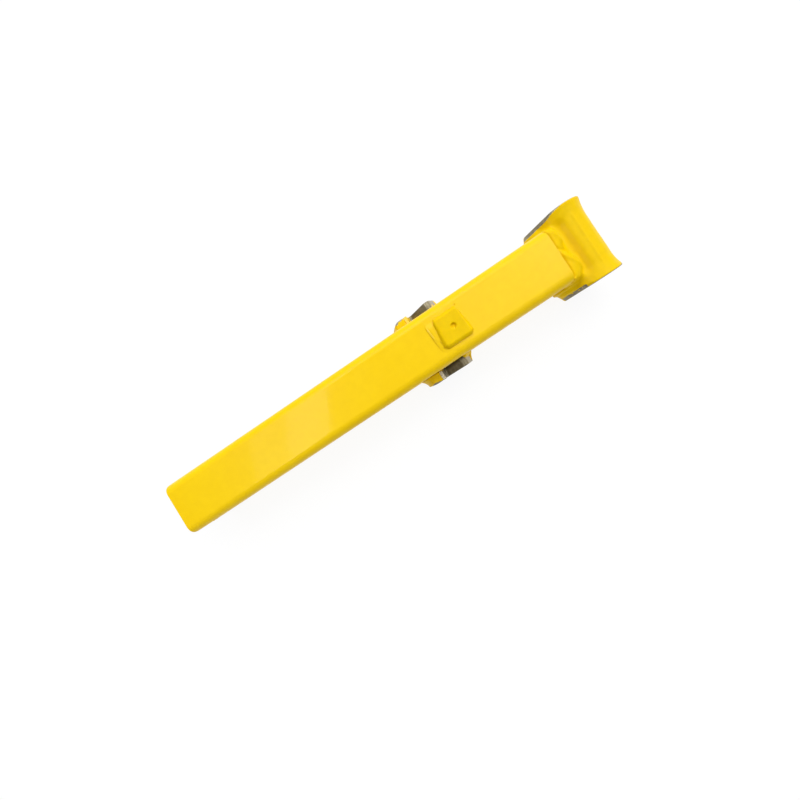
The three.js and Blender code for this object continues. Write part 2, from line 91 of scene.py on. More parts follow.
class Shader:
    """A material being built, with short calls for the nodes that this scene uses."""

    def __init__(self, name):
        self.material = bpy.data.materials.new(name)
        self.material.use_nodes = True
        self.tree = self.material.node_tree
        self.bsdf = self.tree.nodes["Principled BSDF"]
        self.place = self.tree.nodes.new("ShaderNodeTexCoord").outputs["Object"]

    def put(self, value, socket):
        """Links another node's output to the socket, or sets a constant on it."""
        if isinstance(value, bpy.types.NodeSocket):
            self.tree.links.new(value, socket)
        else:
            socket.default_value = value

    def surface(self, **inputs):
        for name, value in inputs.items():
            self.put(value, self.bsdf.inputs[name.replace("_", " ")])

    def math(self, operation, first, second=0.0):
        node = self.tree.nodes.new("ShaderNodeMath")
        node.operation = operation
        self.put(first, node.inputs[0])
        self.put(second, node.inputs[1])
        return node.outputs[0]

    def split(self):
        node = self.tree.nodes.new("ShaderNodeSeparateXYZ")
        self.put(self.place, node.inputs[0])
        return node.outputs

    def stretched(self, scale):
        node = self.tree.nodes.new("ShaderNodeMapping")
        self.put(self.place, node.inputs["Vector"])
        node.inputs["Scale"].default_value = scale
        return node.outputs[0]

    def noise(self, scale, detail=3.0, roughness=0.5, vector=None):
        node = self.tree.nodes.new("ShaderNodeTexNoise")
        self.put(self.place if vector is None else vector, node.inputs["Vector"])
        node.inputs["Scale"].default_value = scale
        node.inputs["Detail"].default_value = detail
        node.inputs["Roughness"].default_value = roughness
        return node.outputs["Fac"]

    def ramp(self, value, low, high, to_low=0.0, to_high=1.0):
        node = self.tree.nodes.new("ShaderNodeMapRange")
        node.interpolation_type = "SMOOTHSTEP"
        for name, setting in (
            ("Value", value),
            ("From Min", low),
            ("From Max", high),
            ("To Min", to_low),
            ("To Max", to_high),
        ):
            self.put(setting, node.inputs[name])
        return node.outputs[0]

    def mix(self, factor, first, second):
        """A mix of two colours."""
        node = self.tree.nodes.new("ShaderNodeMix")
        node.data_type = "RGBA"
        self.put(factor, node.inputs[0])
        self.put(first, node.inputs[6])
        self.put(second, node.inputs[7])
        return node.outputs[2]

    def blend(self, factor, first, second):
        """A mix of two numbers."""
        node = self.tree.nodes.new("ShaderNodeMix")
        node.data_type = "FLOAT"
        self.put(factor, node.inputs[0])
        self.put(first, node.inputs[2])
        self.put(second, node.inputs[3])
        return node.outputs[0]

    def attribute(self, name):
        node = self.tree.nodes.new("ShaderNodeAttribute")
        node.attribute_name = name
        return node.outputs["Fac"]

    def bump(self, height, depth, strength=1.0, under=None):
        node = self.tree.nodes.new("ShaderNodeBump")
        node.inputs["Strength"].default_value = strength
        node.inputs["Distance"].default_value = depth
        self.put(height, node.inputs["Height"])
        if under is not None:
            self.put(under, node.inputs["Normal"])
        return node.outputs[0]


def rgb(red, green, blue):
    return (red, green, blue, 1.0)


# ---------- Materials ----------

YELLOW = rgb(0.86, 0.565, 0.0006)
YELLOW_DEEP = rgb(0.80, 0.510, 0.0004)
YELLOW_PALE = rgb(0.875, 0.588, 0.0015)
YELLOW_SHADED = rgb(0.40, 0.25, 0.0002)
YELLOW_DUSTY = rgb(0.72, 0.49, 0.02)
RUST_BROWN = rgb(0.13, 0.085, 0.04)
WORN_DARK = rgb(0.16, 0.14, 0.085)
WORN_LIGHT = rgb(0.34, 0.30, 0.20)
SEAT_DARK = rgb(0.13, 0.108, 0.062)
SEAT_LIGHT = rgb(0.25, 0.22, 0.145)
# Painted shadow, laid on the liners next to the side wall where the beam's edge shades them.
SEAT_WALL_SHADOW = rgb(0.030, 0.024, 0.010)
# Painted highlight, laid on the two rims of the liners.
SEAT_RIM_HIGHLIGHT = rgb(0.50, 0.46, 0.36)

ENAMEL_SPECULAR = 0.07
ENAMEL_COAT = 0.14
ENAMEL_COAT_ROUGHNESS = 0.07

BEAM_SKIN = 9.6  # a little less than the beam's wall, so that the paint ends at its inner face


def paint_layers(look, shade=0.0):
    """Colour, roughness and bump of thick yellow enamel, darkened by shade as painted shade."""
    drift = look.ramp(look.noise(5.0, 2.0), 0.35, 0.65)
    mottle = look.ramp(look.noise(55.0, 4.0, 0.6), 0.30, 0.75)
    colour = look.mix(drift, YELLOW, YELLOW_PALE)
    colour = look.mix(look.math("MULTIPLY", mottle, 0.35), colour, YELLOW_DEEP)
    # Painted shade: a mottled darkening towards YELLOW_SHADED, by shade.
    if shade:
        painted_shade = look.ramp(look.noise(90.0, 3.0), 0.3, 0.7, shade * 0.7, shade * 1.3)
        colour = look.mix(painted_shade, colour, YELLOW_SHADED)
    dust = look.ramp(look.noise(420.0, 2.0), 0.66, 0.80, 0.0, 0.20)
    colour = look.mix(dust, colour, YELLOW_DUSTY)
    rough = look.ramp(look.noise(38.0, 4.0, 0.6), 0.25, 0.75, 0.30, 0.43)
    normal = look.bump(look.noise(26.0, 2.0), 0.0016, 0.35)
    normal = look.bump(look.noise(330.0, 2.0, 0.4), 0.00028, 0.35, normal)
    return colour, rough, normal


def steel_layers(look, dark, light, scratch_scale=(40.0, 900.0, 900.0)):
    """Colour, roughness and bump of machined steel gone dull."""
    stain = look.ramp(look.noise(48.0, 5.0, 0.65), 0.30, 0.72)
    colour = look.mix(stain, dark, light)
    brown = look.ramp(look.noise(120.0, 3.0), 0.55, 0.80, 0.0, 0.45)
    colour = look.mix(brown, colour, RUST_BROWN)
    marks = look.noise(1.0, 2.0, 0.5, look.stretched(scratch_scale))
    rough = look.blend(stain, 0.52, look.ramp(marks, 0.3, 0.7, 0.34, 0.48))
    normal = look.bump(marks, 0.0002, 0.5)
    return colour, rough, normal


def scale_colour(look, noise_scale, dark, brown):
    return look.mix(look.noise(noise_scale, 5.0, 0.7), dark, brown)


def enamel(name, bare=False, shade=0.0, gloss=1.0):
    """Enamel, darkened by shade as painted shade. With bare, steel shows where the mesh's "bare"
    attribute, in millimetres, rises above zero."""
    look = Shader(name)
    colour, rough, normal = paint_layers(look, shade)
    if not bare:
        look.surface(Base_Color=colour, Roughness=rough, Normal=normal)
    else:
        worn, worn_rough, _ = steel_layers(look, WORN_DARK, WORN_LIGHT)
        ragged = look.math("MULTIPLY", look.math("SUBTRACT", look.noise(420.0, 3.0), 0.5), 1.6)
        edge = look.math("ADD", look.attribute("bare"), ragged)
        mask = look.ramp(edge, -0.25, 0.25)
        film = look.bump(look.ramp(edge, -1.4, 0.3, 1.0, 0.0), 0.0006, 0.8, normal)
        look.surface(
            Base_Color=look.mix(mask, colour, worn),
            Roughness=look.blend(mask, rough, worn_rough),
            Metallic=look.math("MULTIPLY", mask, 0.85),
            Normal=film,
        )
    look.surface(
        Specular_IOR_Level=ENAMEL_SPECULAR * gloss,
        Coat_Weight=ENAMEL_COAT * gloss,
        Coat_Roughness=ENAMEL_COAT_ROUGHNESS,
    )
    return look.material


def beam_enamel():
    """Enamel outside the box beam, mill scale with drifted overspray inside it."""
    look = Shader("beam_enamel")
    colour, rough, normal = paint_layers(look)
    x, y, z = look.split()
    reach = (SIDE_Y - BEAM_SKIN) * MM
    middle = (FRONT_Z + BACK_Z) / 2 * MM
    outside_y = look.math("SUBTRACT", look.math("ABSOLUTE", y), reach)
    from_middle = look.math("ABSOLUTE", look.math("SUBTRACT", z, middle))
    outside_z = look.math("SUBTRACT", from_middle, reach)
    inside = look.math("LESS_THAN", look.math("MAXIMUM", outside_y, outside_z), 0.0)
    drift = look.math("ADD", x, look.math("MULTIPLY", look.noise(30.0, 4.0), 0.09))
    deep = look.ramp(drift, (TAIL_X + 35) * MM, (TAIL_X + 120) * MM)
    raw = look.math("MULTIPLY", inside, deep)
    scale = scale_colour(look, 60.0, rgb(0.045, 0.042, 0.042), rgb(0.12, 0.085, 0.06))
    look.surface(
        Base_Color=look.mix(raw, colour, scale),
        Roughness=look.blend(raw, rough, 0.72),
        Metallic=look.math("MULTIPLY", raw, 0.4),
        Normal=normal,
        Specular_IOR_Level=ENAMEL_SPECULAR,
        Coat_Weight=ENAMEL_COAT,
        Coat_Roughness=ENAMEL_COAT_ROUGHNESS,
    )
    return look.material


def steel(name, dark, light, scratch_scale):
    look = Shader(name)
    colour, rough, normal = steel_layers(look, dark, light, scratch_scale)
    look.surface(Base_Color=colour, Roughness=rough, Normal=normal, Metallic=0.9)
    return look.material


def seat_steel():
    """The saddle liners: dull machined steel, with a painted highlight on the two rims and painted
    shadow towards the side wall, under the beam's edge, with stray paint."""
    look = Shader("seat_steel")
    scratch_scale = (900.0, 30.0, 900.0)
    colour, rough, normal = steel_layers(look, SEAT_DARK, SEAT_LIGHT, scratch_scale)
    x, y, _ = look.split()
    wander = look.math("SUBTRACT", look.noise(150.0, 3.0), 0.5)
    x = look.math("ADD", x, look.math("MULTIPLY", wander, 0.003))
    tail_rim = look.ramp(x, (SADDLE_X - 13) * MM, (SADDLE_X - 11) * MM, 1.0, 0.0)
    head_rim = look.ramp(x, (SADDLE_X + 44) * MM, (SADDLE_X + 50) * MM)
    rim = look.math("MAXIMUM", tail_rim, head_rim)
    from_axis = look.math("ABSOLUTE", y)
    # Painted shadow: the liner is darkened towards the side wall, where the beam's edge shades it.
    root = look.ramp(from_axis, SIDE_Y * MM, (SIDE_Y + 13) * MM, 0.75, 0.0)
    colour = look.mix(root, colour, SEAT_WALL_SHADOW)
    # Painted highlight: the two rims are lightened, as they catch the light.
    colour = look.mix(look.math("MULTIPLY", rim, 0.85), colour, SEAT_RIM_HIGHLIGHT)
    # Paint has run onto the head rim of both liners and the tail rim, further on the left.
    reach = look.math("ADD", from_axis, look.math("MULTIPLY", wander, 0.030))
    near_wall = look.ramp(reach, (SIDE_Y + 9) * MM, (SIDE_Y + 9.6) * MM, 1.0, 0.0)
    at_wall = look.ramp(reach, (SIDE_Y + 4) * MM, (SIDE_Y + 4.6) * MM, 1.0, 0.0)
    head_spill = look.math("MULTIPLY", head_rim, near_wall)
    left_spill = look.math("MULTIPLY", tail_rim, look.ramp(y, 0.0, 0.001))
    right_spill = look.math("MULTIPLY", tail_rim, at_wall)
    tail_spill = look.math("MAXIMUM", left_spill, right_spill)
    spill = look.math("MAXIMUM", head_spill, tail_spill)
    paint, paint_rough, _ = paint_layers(look)
    look.surface(
        Base_Color=look.mix(spill, colour, paint),
        Roughness=look.blend(spill, rough, paint_rough),
        Normal=look.bump(spill, 0.0005, 0.8, normal),
        Metallic=look.blend(spill, 0.7, 0.0),
    )
    return look.material


def mill_scale():
    look = Shader("mill_scale")
    look.surface(
        Base_Color=scale_colour(look, 70.0, rgb(0.05, 0.047, 0.047), rgb(0.13, 0.09, 0.06)),
        Roughness=look.ramp(look.noise(140.0), 0.3, 0.7, 0.55, 0.85),
        Metallic=0.4,
        Normal=look.bump(look.noise(380.0, 4.0), 0.0004, 0.6),
    )
    return look.material


def seal_rubber():
    look = Shader("seal_rubber")
    black, worn_black = rgb(0.012, 0.012, 0.012), rgb(0.035, 0.033, 0.030)
    look.surface(
        Base_Color=look.mix(look.noise(160.0, 4.0), black, worn_black),
        Roughness=look.ramp(look.noise(90.0), 0.3, 0.7, 0.5, 0.75),
        Normal=look.bump(look.noise(900.0), 0.0001, 0.5),
        Specular_IOR_Level=0.4,
    )
    return look.material


def floor_material():
    look = Shader("pale_floor")
    look.surface(
        Base_Color=rgb(0.08, 0.08, 0.08),
        Roughness=0.9,
        Emission_Color=rgb(1, 1, 1),
        Emission_Strength=0.90,
    )
    return look.material


PAINT = enamel("enamel")
# The pad, head and saddle enamel carry painted shade: they are darkened by shade, as they sit darker
# under the light than the beam's face.
PAINT_PAD = enamel("enamel_pad", shade=0.14, gloss=0.3)
PAINT_HEAD = enamel("enamel_head", bare=True, shade=0.12, gloss=0.38)
PAINT_SADDLE = enamel("enamel_saddle", bare=True, shade=0.06, gloss=0.5)
PAINT_BEAM = beam_enamel()
SEAT = seat_steel()
BUSH = steel("ground_steel", rgb(0.42, 0.42, 0.41), rgb(0.60, 0.60, 0.58), (900.0, 25.0, 900.0))
ZINC = steel("zinc_plate", rgb(0.48, 0.45, 0.33), rgb(0.66, 0.64, 0.52), (300.0, 300.0, 300.0))
SCALE = mill_scale()
RUBBER = seal_rubber()

# ---------- Mesh helpers ----------


def add_piece(name, mesh, material, bare=None):
    """Puts a mesh whose points are in metres on the arm, as a shown piece."""
    mesh.name = name
    mesh.materials.clear()
    mesh.materials.append(material)
    mesh.polygons.foreach_set("use_smooth", [True] * len(mesh.polygons))
    if bare is not None:
        field = mesh.attributes.new("bare", "FLOAT", "POINT")
        field.data.foreach_set("value", bare.astype(np.float32))
    made = bpy.data.objects.new(name, mesh)
    bpy.context.scene.collection.objects.link(made)
    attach(made, "arm")
    return made


def add_skin(node, mesh, material, bare=None):
    """A shown piece that takes the place of a CAD node."""
    made = add_piece(node + "_skin", mesh, material, bare)
    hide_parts(node)


def points_of(mesh):
    flat = np.empty(len(mesh.vertices) * 3, np.float32)
    mesh.vertices.foreach_get("co", flat)
    return flat.reshape(-1, 3).astype(float) / MM


def normals_of(mesh):
    flat = np.empty(len(mesh.vertices) * 3, np.float32)
    mesh.vertex_normals.foreach_get("vector", flat)
    return flat.reshape(-1, 3).astype(float)


def set_points(mesh, points):
    """Moves the mesh's points, none of them further than the CAD model's box."""
    low, high = (np.array(corner) / MM for corner in cad_box)
    points = np.clip(points, low, high)
    mesh.vertices.foreach_set("co", (points * MM).astype(np.float32).ravel())
    mesh.update()


def rise(distance, length):
    """0 below a distance of 0, then rising to 1 over length."""
    return np.clip(distance / length, 0, 1)


def hump(value, middle, width):
    """1 at middle, fading to 0 on both sides of it."""
    return np.exp(-(((value - middle) / width) ** 2))


def relax(mesh, rounds, weight=1.0):
    """Moves each point halfway to the mean of its neighbours, a few times over, scaled by weight."""
    edges = np.empty(len(mesh.edges) * 2, np.int32)
    mesh.edges.foreach_get("vertices", edges)
    start, end = edges.reshape(-1, 2).T
    points = points_of(mesh)
    count = np.bincount(start, minlength=len(points)) + np.bincount(end, minlength=len(points))
    for _ in range(rounds):
        total = np.zeros_like(points)
        for axis in range(3):
            total[:, axis] += np.bincount(start, points[end, axis], len(points))
            total[:, axis] += np.bincount(end, points[start, axis], len(points))
        points += 0.5 * np.reshape(weight, (-1, 1)) * (total / count[:, None] - points)
    set_points(mesh, points)


def remeshed(sources, voxel):
    """One closed even mesh round the given meshes, with faces about voxel millimetres wide."""
    verts, faces = [], []
    for source in sources:
        start = len(verts)
        verts += [v.co.copy() for v in source.vertices]
        faces += [[start + i for i in p.vertices] for p in source.polygons]
    joined = bpy.data.meshes.new("joined")
    joined.from_pydata(verts, [], faces)
    holder = bpy.data.objects.new("joined", joined)
    bpy.context.scene.collection.objects.link(holder)
    remesh = holder.modifiers.new("voxels", "REMESH")
    remesh.mode = "VOXEL"
    remesh.voxel_size = voxel * MM
    graph = bpy.context.evaluated_depsgraph_get()
    made = bpy.data.meshes.new_from_object(holder.evaluated_get(graph))
    bpy.data.objects.remove(holder)
    return made


def lumps(points, size, seed):
    """Smooth noise of about -1 to 1 at each point, with lumps of the given size in millimetres."""
    shift = Vector((seed * 7.3, seed * 3.1, seed * 5.7))
    return np.array([noise.noise(Vector(p) / size + shift) for p in points])


def arc_run(x, y, z, radius, first, last):
    """Points every 10 degrees along an arc about (x, z), in the plane at y."""
    run = []
    for degrees in range(first, last + 1, 10):
        angle = math.radians(degrees)
        run.append((x + radius * math.cos(angle), y, z + radius * math.sin(angle)))
    return run


BEAD_STEP = 1.0
BEAD_SIDES = 16


def bead_line(path):
    """The path in short steps, with its corners rounded off."""
    path = [Vector(p) for p in path]
    line = [path[0]]
    for p, q in zip(path, path[1:]):
        count = max(1, round((q - p).length / BEAD_STEP))
        line += [p.lerp(q, (i + 1) / count) for i in range(count)]
    total = len(line)
    soft = []
    for i in range(total):
        near = [line[min(max(i + k, 0), total - 1)] for k in range(-3, 4)]
        soft.append(sum(near, Vector()) / len(near))
    return soft


def bead_mesh(path, radius, seed, squash=1.0, out=(0, 0, 1), pitch=4.5):
    """A weld run along the points of path: a tube whose radius swells and ripples,
    flattened along out by squash."""
    soft = bead_line(path)
    total = len(soft)
    out = Vector(out).normalized()
    verts, faces = [], []
    for i, centre in enumerate(soft):
        along = (soft[min(i + 1, total - 1)] - soft[max(i - 1, 0)]).normalized()
        side = along.cross(out).normalized()
        up = side.cross(along).normalized()
        drift = 0.5 * noise.noise(Vector((i * 0.11, seed, 0)))
        wave = (i * BEAD_STEP / pitch + drift) % 1.0
        swell = 0.13 * noise.noise(Vector((i * 0.09, seed * 2.7, 5)))
        ripple = 1.0 + 0.05 * math.sin(wave * math.tau) + swell
        tip = min(i, total - 1 - i) * BEAD_STEP / radius
        thick = radius * ripple * math.sqrt(max(0.02, 1 - (1 - min(tip, 1)) ** 2))
        for k in range(BEAD_SIDES):
            turn = math.tau * k / BEAD_SIDES
            across = side * (thick * math.cos(turn))
            verts.append((centre + across + up * (thick * squash * math.sin(turn))) * MM)
    for i in range(total - 1):
        here, ahead = i * BEAD_SIDES, (i + 1) * BEAD_SIDES
        for k in range(BEAD_SIDES):
            beside = (k + 1) % BEAD_SIDES
            faces.append((here + k, ahead + k, ahead + beside, here + beside))
    faces.append(tuple(range(BEAD_SIDES)))
    faces.append(tuple(range((total - 1) * BEAD_SIDES, total * BEAD_SIDES))[::-1])
    mesh = bpy.data.meshes.new("bead")
    mesh.from_pydata(verts, [], faces)
    mesh.flip_normals()
    set_points(mesh, points_of(mesh))
    return mesh


def bead(name, path, radius, seed, **shape):
    add_piece(name, bead_mesh(path, radius, seed, **shape), PAINT)


def lobe_mesh(centre, size, seed, turn=0, low_x=-math.inf):
    """A flattened, uneven blob of weld, turned about Z. It stops at the plane x = low_x."""
    bpy.ops.mesh.primitive_uv_sphere_add(segments=64, ring_count=32, radius=1)
    source = bpy.context.object
    mesh = source.data.copy()
    bpy.data.objects.remove(source)
    points = points_of(mesh) * MM * (np.array(size) / 2)
    points *= (1 + 0.11 * lumps(points, 20, seed))[:, None]
    cos_turn, sin_turn = math.cos(math.radians(turn)), math.sin(math.radians(turn))
    x = np.maximum(points[:, 0] * cos_turn - points[:, 1] * sin_turn + centre[0], low_x)
    y = points[:, 0] * sin_turn + points[:, 1] * cos_turn + centre[1]
    set_points(mesh, np.column_stack((x, y, points[:, 2] + centre[2])))
    return mesh


def ridge(points, start, end, width):
    """1 on the line from start to end as seen from the front, fading to 0 away from it."""
    start, end = np.array(start), np.array(end)
    line = end - start
    along = np.clip((points[:, :2] - start) @ line / (line @ line), 0, 1)
    gap = np.linalg.norm(points[:, :2] - start - along[:, None] * line, axis=1)
    return hump(gap, 0, width)


def spread(points, low, high, skirt):
    """Draws the foot of a low block outwards into a fillet of paint and weld, skirt
    millimetres wide. Gives each point's place across the block, from -1 to 1."""
    share = (points[:, :2] - (low + high)[:2] / 2) / ((high - low)[:2] / 2)
    near_edge = rise(np.abs(share).max(1) - 0.80, 0.20)
    away = np.sign(share) * np.abs(share) ** 6
    away /= np.linalg.norm(away, axis=1)[:, None] + 1e-9
    height = rise(points[:, 2] - low[2], high[2] - low[2])
    points[:, :2] += away * (skirt * near_edge * (1 - height) ** 1.2)[:, None]
    return share


# ---------- CAD nodes kept as they are, with softened edges ----------

HIDDEN_PLATES = (
    "seam_backing",
    "tail_side_diaphragm",
    "head_side_diaphragm",
    "tail_ring",
    "saddle_cross_tube",
)


def keep(node, material, width, segments=2):
    obj = nodes[node]
    obj.data.materials.clear()
    obj.data.materials.append(material)
    obj.data.polygons.foreach_set("use_smooth", [True] * len(obj.data.polygons))
    flat = obj.modifiers.new("merge_flat_faces", "DECIMATE")
    flat.decimate_type = "DISSOLVE"
    flat.angle_limit = math.radians(0.5)
    edge = obj.modifiers.new("soft_edges", "BEVEL")
    edge.width = width * MM
    edge.segments = segments
    edge.limit_method = "ANGLE"
    edge.angle_limit = math.radians(35)
    shade = obj.modifiers.new("even_shading", "WEIGHTED_NORMAL")
    shade.keep_sharp = True


for node in ("front_channel", "back_channel"):
    keep(node, PAINT_BEAM, 2.4, 3)
for node in nodes:
    if node.startswith(HIDDEN_PLATES):
        keep(node, SCALE, 0.8)
    elif node.startswith("head_bush"):
        keep(node, BUSH, 0.4)
    elif node.startswith("head_seal"):
        keep(node, RUBBER, 0.4)
keep("grease_nipple", ZINC, 0.2)
keep("nipple_ball", BUSH, 0.05)

# ---------- Head casting ----------

LOBE_LOW_X = BEAM_END_X - 1.5  # the lobes of weld start here, under the front plate's end
LOBE_LOW_Z = 105
LOBE_HALF_WIDTH = 86
HEEL_X = PIN_X - 48
HEEL_Z = 66
HEEL_WELD_ARC = 43
HEEL_WELD_RADIUS = 5.0
PARTING_DEGREES, PARTING_SPREAD, PARTING_HEIGHT = 85, 3.0, 1.5
SINK_DEGREES, SINK_SPREAD, SINK_DEPTH = 116, 10, 4.5
NARROW_BAND = 1.2

# Height, start and end beyond the plate's end, and width. A negative height is a groove.
LOBE_RIDGES = (
    (3.0, (17, 56), (28, 30), 6),  # the left lobe's crest
    (3.5, (12, -6), (40, -48), 7),  # the right lobe's crest
    (-3.0, (8, 14), (24, 4), 4),  # the crease between the lobes
    (-5.0, (3, -60), (3, 60), 4),  # the groove left along the plate's end
)


def lobe_welds():
    """Two broad lobes of weld, which fill the step from the plate's end down to the throat."""
    left = lobe_mesh((BEAM_END_X + 12, 39, 133), (56, 62, 42), 21, 8, LOBE_LOW_X)
    right = lobe_mesh((BEAM_END_X + 14, -30, 132), (60, 86, 42), 23, 22, LOBE_LOW_X)
    return [left, right]


def heel_welds():
    """A run of weld round each heel, in the corner between it and the beam's side."""
    runs = []
    for index, (_, sign) in enumerate(SIDES):
        arc = arc_run(HEEL_X, sign * (SIDE_Y + 2), HEEL_Z, HEEL_WELD_ARC, 80, 280)
        runs.append(bead_mesh(arc, HEEL_WELD_RADIUS, 25 + index, out=(0, sign, 0)))
    return runs


def smooth_lobes(head):
    """Relaxes the lobes of weld into the throat."""
    points = points_of(head)
    near_lobes = rise(points[:, 0] - BEAM_END_X - 4, 6) * rise(PIN_X - 5 - points[:, 0], 15)
    near_lobes *= rise(points[:, 2] - LOBE_LOW_Z, 15) * rise(LOBE_HALF_WIDTH - np.abs(points[:, 1]), 14)
    relax(head, 100, near_lobes)


def lobe_relief(points):
    relief = np.zeros(len(points))
    for height, start, end, width in LOBE_RIDGES:
        line = [(BEAM_END_X + x, y) for x, y in (start, end)]
        relief += height * ridge(points, *line, width)
    return relief * rise(points[:, 2] - 112, 10)


def head_bare(points, dx, depth, angle):
    """How far each point lies inside the bare band beside its end face, in millimetres.
    The band is long and tapering on the left, short and chipped on the right."""
    left_band = np.interp(dx, (-70, -45, -30, -5), (11.5, 10.5, 5.0, NARROW_BAND))
    right_band = np.interp(dx, (-47, -42), (9.5, 1.4)) + 5.0 * hump(angle, 30, 15)
    right_band -= 12 * (dx < -42) * np.clip(lumps(points, 6, 33) - 0.30, 0, 1)
    band = np.where(points[:, 1] > 0, left_band, right_band)
    band = np.where((angle > 0) | (angle < -172), band, NARROW_BAND)
    return band - depth + 0.7 * lumps(points, 9, 31)


def add_head():
    """The casting and its welds under one coat: a cast surface with a parting line, and a
    sink beside the throat."""
    head = remeshed([nodes["head_casting"].data, *lobe_welds(), *heel_welds()], voxel=1.6)
    relax(head, 9)
    smooth_lobes(head)
    points, normals = points_of(head), normals_of(head)
    dx, dz = points[:, 0] - PIN_X, points[:, 2] - PIN_Z
    depth = END_Y - np.abs(points[:, 1])
    angle = np.degrees(np.arctan2(dz, dx))
    outer = rise(np.hypot(dx, dz) - 50, 8) * rise(depth - 1, 6)
    rough_cast = 0.45 * lumps(points, 22, 1) + 0.25 * lumps(points, 9, 2)
    fade = rise(depth - 22, 16)
    parting = PARTING_HEIGHT * fade * hump(angle, PARTING_DEGREES, PARTING_SPREAD)
    sink = SINK_DEPTH * fade * hump(angle, SINK_DEGREES, SINK_SPREAD)
    points += normals * (outer * (rough_cast + parting - sink))[:, None]
    points[:, 2] += lobe_relief(points)
    set_points(head, points)
    add_skin("head_casting", head, PAINT_HEAD, head_bare(points, dx, depth, angle))


add_head()

# ---------- Saddles ----------

LUG_FLARE = 12
WEAR_X = -50  # the paint is worn furthest back here, from the saddle's middle


def add_lug(index, side, sign):
    """One saddle casting: uneven, flared at its root, with its outer edge worn bare."""
    lug = remeshed([nodes["saddle_casting_" + side].data], voxel=1.2)
    relax(lug, 8)
    points, normals = points_of(lug), normals_of(lug)
    along = rise(np.abs(points[:, 1]) - SIDE_Y, LUG_HIGH[1] - SIDE_Y)
    free = rise(LUG_HIGH[1] - 1 - np.abs(points[:, 1]), 4)
    rough_cast = 0.6 * lumps(points, 13, 4 + index) + 0.25 * lumps(points, 6, 8)
    points += normals * (free * rough_cast)[:, None]
    dx = points[:, 0] - SADDLE_X
    tail_side = rise(-dx - 30, 25)
    head_side = rise(dx - 40, 20)
    points[:, 0] += LUG_FLARE * (1 - along) ** 2 * (head_side - tail_side)
    points[:, 1] -= sign * along * (6 + 3 * sign) * rise(-dx - 40, 24) ** 2
    set_points(lug, points)
    worn = 3.5 * hump(dx, WEAR_X, 9)
    bare = np.abs(points[:, 1]) - (LUG_HIGH[1] - 2.2) + worn + 3.2 * lumps(points, 8, 41 + index)
    add_skin("saddle_casting_" + side, lug, PAINT_SADDLE, bare)


def add_liner(side):
    liner = remeshed([nodes["saddle_liner_" + side].data], voxel=0.9)
    relax(liner, 4)
    add_skin("saddle_liner_" + side, liner, SEAT)


for index, (side, sign) in enumerate(SIDES):
    add_lug(index, side, sign)
    add_liner(side)

# ---------- Front fittings ----------

PAD_HOLE_X = SADDLE_X + 54
PAINT_PLUG = 4.5  # how far paint has filled the hole
PLUG_WIDTH = 18
PAD_SKIRT = 8.5
STOP_SKIRT = 9.0
STOP_SHEAR = 0.05
STOP_SHIFT = 1.0
SPATTER_SIZE = (4.6, 4.0, 3.4)


def add_pad():
    plug_size = (PLUG_WIDTH, PLUG_WIDTH, 2 * PAINT_PLUG)
    plug = lobe_mesh((PAD_HOLE_X, 0, FRONT_Z), plug_size, 61)
    pad = remeshed([nodes["lock_pad"].data, plug], voxel=0.8)
    relax(pad, 30)
    points, normals = points_of(pad), normals_of(pad)
    spread(points, PAD_LOW, PAD_HIGH, PAD_SKIRT)
    points += normals * (0.2 * lumps(points, 14, 11))[:, None]
    set_points(pad, points)
    add_skin("lock_pad", pad, PAINT_PAD)


def add_strip():
    """The stop strip, which tapers down at its ends and leans a little on its tail side."""
    strip = remeshed([nodes["stop_strip"].data], voxel=0.7)
    relax(strip, 26)
    points, normals = points_of(strip), normals_of(strip)
    share = spread(points, STOP_LOW, STOP_HIGH, STOP_SKIRT)
    ends = np.clip(1 - np.abs(share[:, 1]) ** 5, 0, 1)
    ends *= 0.75 + 0.25 * np.tanh(2 * share[:, 1] + 0.6)
    points[:, 2] = FRONT_Z + (points[:, 2] - FRONT_Z) * ends
    shear = -STOP_SHEAR * (points[:, 1] - 8)
    points[:, 0] += np.where(share[:, 0] < 0, shear, 6.0 * share[:, 0]) + STOP_SHIFT
    points += normals * (0.15 * lumps(points, 12, 12))[:, None]
    set_points(strip, points)
    add_skin("stop_strip", strip, PAINT)


def add_spatter():
    """Two grains of weld spatter beside the pad."""
    grains = [
        lobe_mesh((PAD_LOW[0] + 15, 39, FRONT_Z), SPATTER_SIZE, 51),
        lobe_mesh((PAD_HIGH[0], 42, FRONT_Z), SPATTER_SIZE, 52),
    ]
    # The grains take the pad's enamel, with its painted shade.
    add_piece("weld_spatter", remeshed(grains, voxel=0.3), PAINT_PAD)


add_pad()
add_strip()

# ---------- Weld runs ----------

SADDLE_WELD_ARC = 67
SADDLE_WELD_Z = 58
SADDLE_GAP = 72  # the seam's weld stops this far from the saddle's middle


def saddle_welds(index, side, sign):
    """The runs round the foot of one saddle, one on its tail side and one on its head side."""
    wall = sign * (SIDE_Y + 0.2)
    out = (0, sign, 0)
    arc = arc_run(SADDLE_X, wall, SADDLE_WELD_Z, SADDLE_WELD_ARC, -50, 230)
    lower = [p for p in arc if p[2] < LUG_HIGH[2] - 2]
    tail_run = [p for p in lower if p[0] < SADDLE_X]
    tail_run.sort(key=lambda p: p[2])
    head_run = [p for p in lower if p[0] > SADDLE_X and p[2] < 78]
    head_run.sort(key=lambda p: p[2])
    head_run += [(SADDLE_X + 55, wall, 94), (SADDLE_X + 45, wall, 109)]
    bead(f"weld_saddle_{side}_tail", tail_run, 5.5, 5 + index, out=out, squash=0.8)
    bead(f"weld_saddle_{side}_head", head_run, 7.5, 7 + index, out=out, squash=0.9)


